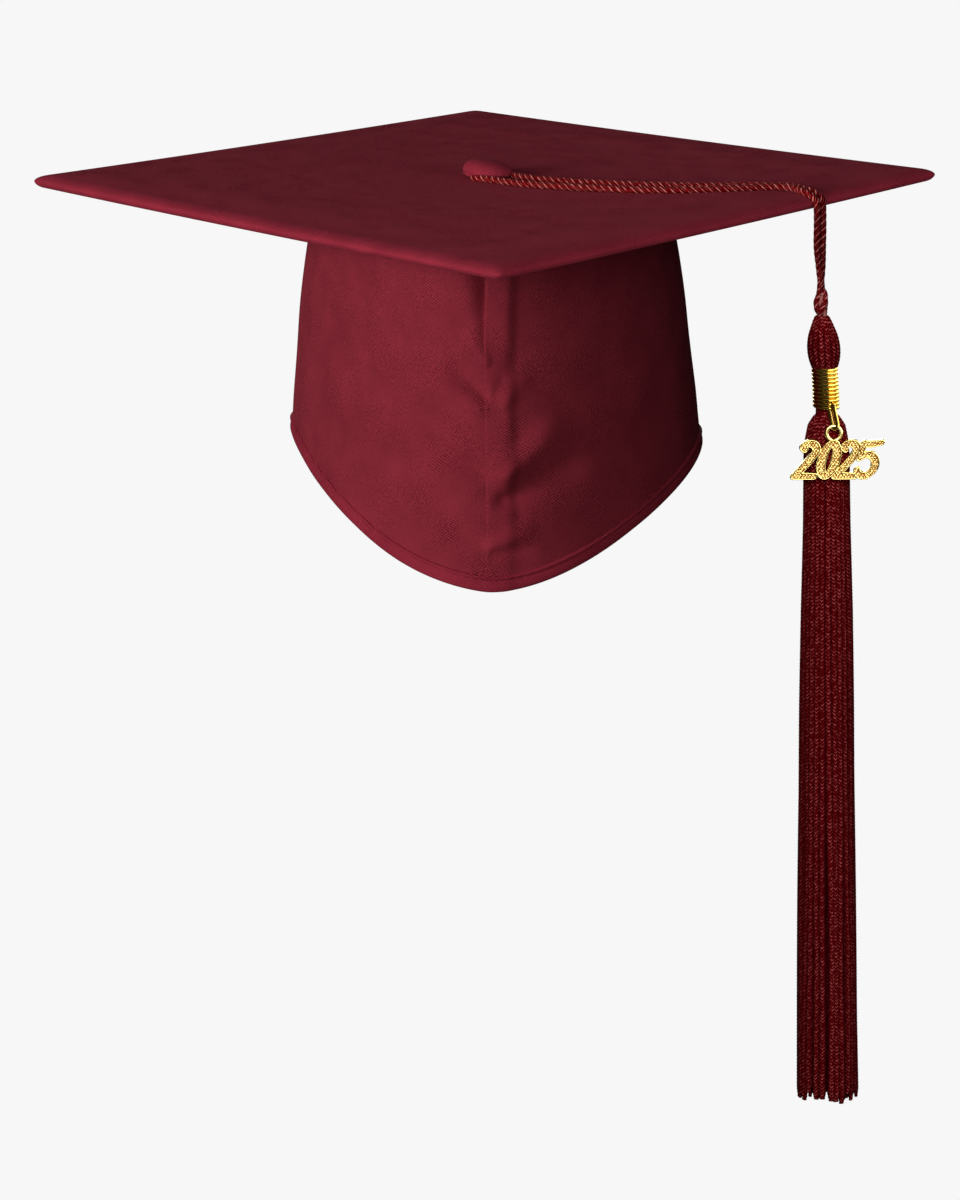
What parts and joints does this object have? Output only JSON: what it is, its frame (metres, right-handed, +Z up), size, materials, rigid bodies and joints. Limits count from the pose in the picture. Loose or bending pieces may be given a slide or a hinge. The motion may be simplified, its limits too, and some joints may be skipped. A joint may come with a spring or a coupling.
{
  "type": "graduation cap",
  "caption": "Mortarboard graduation cap: cloth-covered square board on a fitted crown, with a covered button, a corded tassel over the edge and a year charm.",
  "frame": {"origin": "middle of the crown's ceiling inside the cap, where the top of the head meets it", "axes": "+Z up; -Y the wearer's front, where a corner of the board points; +X the wearer's left, where the tassel hangs"},
  "size_m": [0.3366, 0.3366, 0.3568],
  "materials": {
    "maroon_cloth": "woven polyester twill, satin on its raised folds",
    "lining_cloth": "plain weave, matte",
    "chipboard": "raw pressed board",
    "wadding": "thin white wadding",
    "buckram": "stiff open weave",
    "elastic_webbing": "ribbed webbing",
    "steel": "plain stamped steel, hidden",
    "maroon_cord": "lustrous rayon twist and chainette",
    "gold": "bright gold colour plating"
  },
  "bodies": {
    "cap": {"board_cover_top": "maroon_cloth", "board_cover_underside": "maroon_cloth", "board_core": "chipboard", "board_padding": "wadding", "crown_panel_right": "maroon_cloth", "crown_lining_right": "lining_cloth", "crown_panel_left": "maroon_cloth", "crown_lining_left": "lining_cloth", "crown_stiffener": "buckram", "elastic_band": "elastic_webbing", "hem_binding": "maroon_cloth", "crown_ceiling": "lining_cloth", "button_cover": "maroon_cloth", "button_shell": "steel", "button_back_plate": "steel", "button_rivet": "steel", "button_washer": "steel"},
    "tassel_loop": {"loop_cord_board": "maroon_cord"},
    "cord_drop": {"loop_cord_drop_near": "maroon_cord", "loop_cord_drop_far": "maroon_cord"},
    "tassel": {"tassel_knot": "maroon_cord", "tassel_head": "maroon_cord", "tassel_inner_knot": "maroon_cord", "ferrule_coil": "gold", "tassel_neck": "maroon_cord", "skirt_core": "maroon_cord", "skirt_strand_01": "maroon_cord", "skirt_strand_02": "maroon_cord", "skirt_strand_03": "maroon_cord", "skirt_strand_04": "maroon_cord", "skirt_strand_05": "maroon_cord", "skirt_strand_06": "maroon_cord", "skirt_strand_07": "maroon_cord", "skirt_strand_08": "maroon_cord", "skirt_strand_09": "maroon_cord", "skirt_strand_10": "maroon_cord", "skirt_strand_11": "maroon_cord", "skirt_strand_12": "maroon_cord"},
    "charm_link": {"charm_link": "gold"},
    "year_charm": {"year_charm": "gold"}
  },
  "joints": [
    {"name": "tassel_turn", "type": "hinge", "parent": "cap", "child": "tassel_loop", "pos_m": [0, 0, 0.0081], "axis": [0, 0, 1], "range_deg": [-44, 0]},
    {"name": "tassel_swing", "type": "hinge", "parent": "tassel_loop", "child": "cord_drop", "pos_m": [0.12417, -0.04865, 0], "axis": [-0.7071, -0.7071, 0], "range_deg": [-5, 80]},
    {"name": "tassel_sway", "type": "hinge", "parent": "cord_drop", "child": "tassel", "pos_m": [0.12417, -0.04865, -0.03365], "axis": [0.7071, -0.7071, 0], "range_deg": [-20, 20]},
    {"name": "link_swing", "type": "hinge", "parent": "tassel", "child": "charm_link", "pos_m": [0.12541, -0.05271, -0.0739], "axis": [-0.9563, -0.2924, 0], "range_deg": [0, 60]},
    {"name": "charm_sway", "type": "hinge", "parent": "charm_link", "child": "year_charm", "pos_m": [0.12674, -0.05706, -0.08285], "axis": [0, 1, 0], "range_deg": [-25, 25]}
  ]
}
